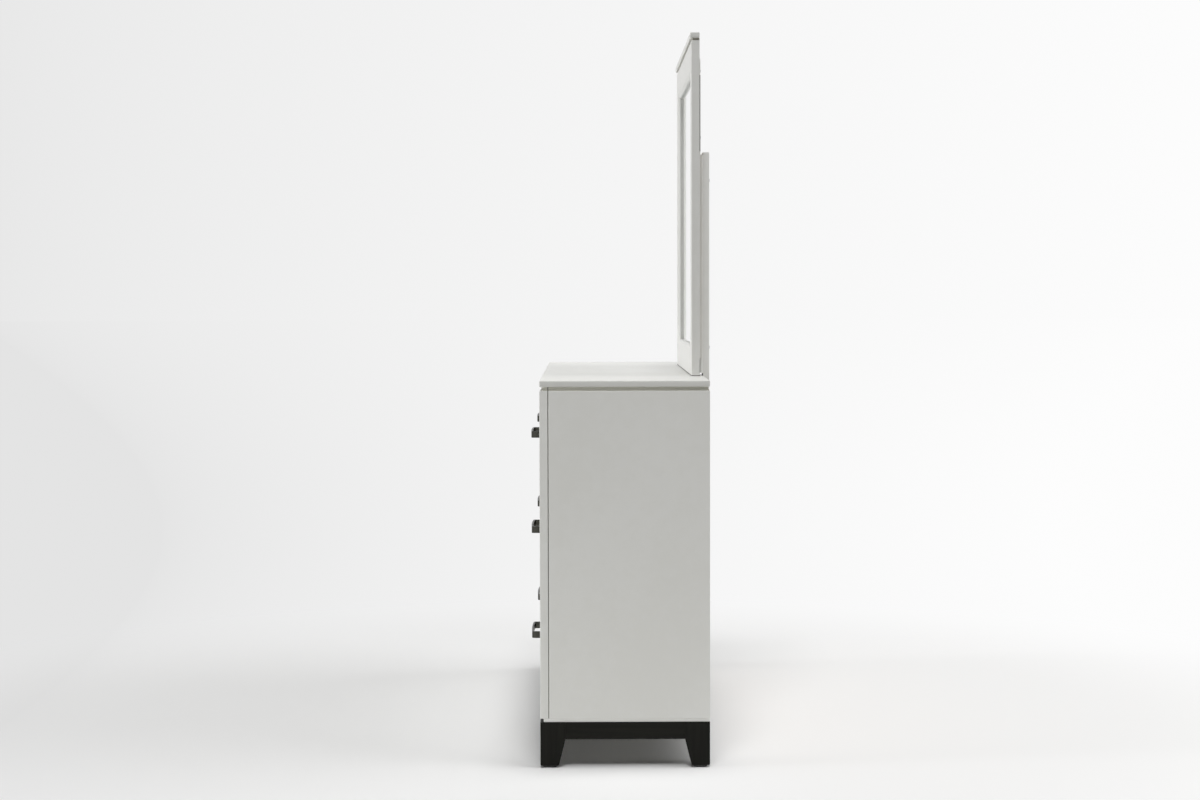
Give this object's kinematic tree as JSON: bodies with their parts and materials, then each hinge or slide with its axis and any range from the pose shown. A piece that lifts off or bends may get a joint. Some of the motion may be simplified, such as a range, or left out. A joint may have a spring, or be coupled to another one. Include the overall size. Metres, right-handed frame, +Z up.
{
  "type": "dresser",
  "caption": "White dresser with drawers in two columns on a black footed base, with a framed mirror on rear posts.",
  "frame": {"origin": "middle of the footprint at floor level", "axes": "+Z up, the drawers open towards -Y, +X on the right of someone who faces the drawers"},
  "size_m": [1.499, 0.4524, 1.7811],
  "materials": {
    "white_paint": "satin white paint on board",
    "black_stain": "satin black lacquer",
    "plain_wood": "unpainted sanded wood",
    "hardboard": "thin brown hardboard",
    "gunmetal": "dark brushed pulls",
    "zinc_steel": "zinc-plated sheet and screws",
    "glide_plastic": "moulded black plastic",
    "silvered_glass": "silvered flat glass"
  },
  "bodies": {
    "cabinet": {"top_panel": "white_paint", "sub_top": "white_paint", "side_panel_right": "white_paint", "side_panel_left": "white_paint", "centre_partition": "plain_wood", "case_floor": "white_paint", "back_panel": "hardboard", "rear_rails": "plain_wood", "face_frame_stiles": "white_paint", "face_frame_rails": "white_paint", "runner_battens": "plain_wood", "case_runners": "zinc_steel", "base_aprons": "black_stain", "base_stretcher": "black_stain", "feet": "black_stain", "foot_glides": "glide_plastic", "mirror_stiles": "white_paint", "mirror_rails": "white_paint", "mirror_cap": "white_paint", "mirror_glass": "silvered_glass", "mirror_backboard": "hardboard", "mirror_posts": "white_paint", "post_packings": "white_paint", "post_screws": "zinc_steel"},
    "drawer_lower_left": {"drawer_lower_left_front": "white_paint", "drawer_lower_left_box_sides": "plain_wood", "drawer_lower_left_box_ends": "plain_wood", "drawer_lower_left_bottom": "hardboard", "drawer_lower_left_runners": "zinc_steel", "drawer_lower_left_pull": "gunmetal"},
    "drawer_lower_right": {"drawer_lower_right_front": "white_paint", "drawer_lower_right_box_sides": "plain_wood", "drawer_lower_right_box_ends": "plain_wood", "drawer_lower_right_bottom": "hardboard", "drawer_lower_right_runners": "zinc_steel", "drawer_lower_right_pull": "gunmetal"},
    "drawer_middle_left": {"drawer_middle_left_front": "white_paint", "drawer_middle_left_box_sides": "plain_wood", "drawer_middle_left_box_ends": "plain_wood", "drawer_middle_left_bottom": "hardboard", "drawer_middle_left_runners": "zinc_steel", "drawer_middle_left_pull": "gunmetal"},
    "drawer_middle_right": {"drawer_middle_right_front": "white_paint", "drawer_middle_right_box_sides": "plain_wood", "drawer_middle_right_box_ends": "plain_wood", "drawer_middle_right_bottom": "hardboard", "drawer_middle_right_runners": "zinc_steel", "drawer_middle_right_pull": "gunmetal"},
    "drawer_upper_left": {"drawer_upper_left_front": "white_paint", "drawer_upper_left_box_sides": "plain_wood", "drawer_upper_left_box_ends": "plain_wood", "drawer_upper_left_bottom": "hardboard", "drawer_upper_left_runners": "zinc_steel", "drawer_upper_left_pull": "gunmetal"},
    "drawer_upper_right": {"drawer_upper_right_front": "white_paint", "drawer_upper_right_box_sides": "plain_wood", "drawer_upper_right_box_ends": "plain_wood", "drawer_upper_right_bottom": "hardboard", "drawer_upper_right_runners": "zinc_steel", "drawer_upper_right_pull": "gunmetal"}
  },
  "joints": [
    {"name": "drawer_lower_left_slide", "type": "slide", "parent": "cabinet", "child": "drawer_lower_left", "axis": [0, -1, 0], "range_m": [0, 0.26]},
    {"name": "drawer_lower_right_slide", "type": "slide", "parent": "cabinet", "child": "drawer_lower_right", "axis": [0, -1, 0], "range_m": [0, 0.26]},
    {"name": "drawer_middle_left_slide", "type": "slide", "parent": "cabinet", "child": "drawer_middle_left", "axis": [0, -1, 0], "range_m": [0, 0.26]},
    {"name": "drawer_middle_right_slide", "type": "slide", "parent": "cabinet", "child": "drawer_middle_right", "axis": [0, -1, 0], "range_m": [0, 0.26]},
    {"name": "drawer_upper_left_slide", "type": "slide", "parent": "cabinet", "child": "drawer_upper_left", "axis": [0, -1, 0], "range_m": [0, 0.26]},
    {"name": "drawer_upper_right_slide", "type": "slide", "parent": "cabinet", "child": "drawer_upper_right", "axis": [0, -1, 0], "range_m": [0, 0.26]}
  ]
}
